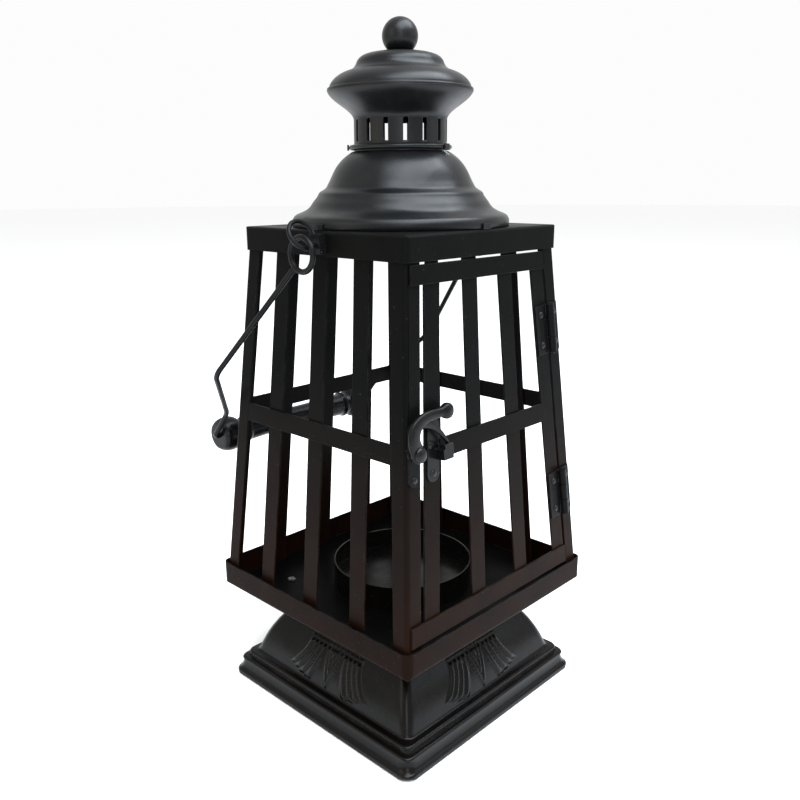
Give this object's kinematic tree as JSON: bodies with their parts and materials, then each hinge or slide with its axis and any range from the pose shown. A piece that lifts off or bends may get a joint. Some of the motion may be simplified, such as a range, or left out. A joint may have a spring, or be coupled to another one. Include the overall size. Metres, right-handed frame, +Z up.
{
  "type": "barn lantern",
  "caption": "Square candle lantern with a stepped foot, drip tray, tapering barred cage, hinged and latched door, domed ventilated hood and a swinging wire bail with a grip.",
  "frame": {"origin": "centre of the foot, on the surface that the lantern stands on", "axes": "+Z up along the lantern's centre line, -Y towards the door, +Y towards the side where the bail hangs, +X towards the hinge side as seen from the door"},
  "size_m": [0.158, 0.1693, 0.3435],
  "materials": {
    "base_black": "satin black paint, warmer where it is worn",
    "cage_black": "satin black paint",
    "hood_black": "satin black paint with a soft cool sheen",
    "wire_black": "satin black paint on drawn wire",
    "grip_black": "smooth semi-gloss black paint",
    "iron_black": "semi-gloss black paint on cast and cut plate",
    "fastener_black": "semi-gloss black paint, rubbed on the heads"
  },
  "bodies": {
    "frame": {"foot_plinth": "base_black", "foot_screw": "fastener_black", "foot_nut": "fastener_black", "tray": "base_black", "candle_cup": "base_black", "post_front_left": "cage_black", "post_front_right": "cage_black", "post_back_right": "cage_black", "post_back_left": "cage_black", "left_bar_1": "cage_black", "left_bar_2": "cage_black", "left_bar_3": "cage_black", "right_bar_1": "cage_black", "right_bar_2": "cage_black", "right_bar_3": "cage_black", "back_bar_1": "cage_black", "back_bar_2": "cage_black", "back_bar_3": "cage_black", "left_rail": "cage_black", "right_rail": "cage_black", "back_rail": "cage_black", "top_pan": "cage_black", "dome": "hood_black", "dome_tabs": "hood_black", "vent_collar": "hood_black", "collar_ring": "hood_black", "collar_tabs": "hood_black", "hood_cap": "hood_black", "finial_ball": "hood_black", "finial_stud": "fastener_black", "finial_nut": "fastener_black", "hinge_post_leaf_upper": "iron_black", "hinge_post_leaf_lower": "iron_black", "hinge_post_rivets": "fastener_black", "hinge_pin_upper": "fastener_black", "hinge_pin_lower": "fastener_black", "latch_plate": "iron_black", "latch_plate_rivets": "fastener_black", "latch_washer": "fastener_black", "latch_pivot_rivet": "fastener_black", "eye_left": "wire_black", "eye_right": "wire_black", "eye_lugs": "iron_black"},
    "door": {"door_hinge_stile": "cage_black", "door_latch_stile": "cage_black", "door_bar_left": "cage_black", "door_bar_right": "cage_black", "door_top_rail": "cage_black", "door_mid_rail": "cage_black", "door_bottom_rail": "cage_black", "hinge_door_leaf_upper": "iron_black", "hinge_door_leaf_lower": "iron_black", "hinge_door_rivets": "fastener_black", "catch_plate": "iron_black", "catch_rivets": "fastener_black"},
    "latch_lever": {"latch_lever": "iron_black"},
    "bail": {"bail_wire": "wire_black", "bail_grip": "grip_black"}
  },
  "joints": [
    {"name": "door_hinge", "type": "hinge", "parent": "frame", "child": "door", "pos_m": [0.05419, -0.06648, 0.1102], "axis": [-0.0814, 0.0814, 0.9934], "range_deg": [0, 150]},
    {"name": "latch_pivot", "type": "hinge", "parent": "frame", "child": "latch_lever", "pos_m": [-0.05666, -0.06414, 0.1571], "axis": [0, -0.9967, 0.0817], "range_deg": [0, 110]},
    {"name": "bail_swing", "type": "hinge", "parent": "frame", "child": "bail", "pos_m": [0, -0.003, 0.2407], "axis": [1, 0, 0], "range_deg": [-3, 195]}
  ]
}
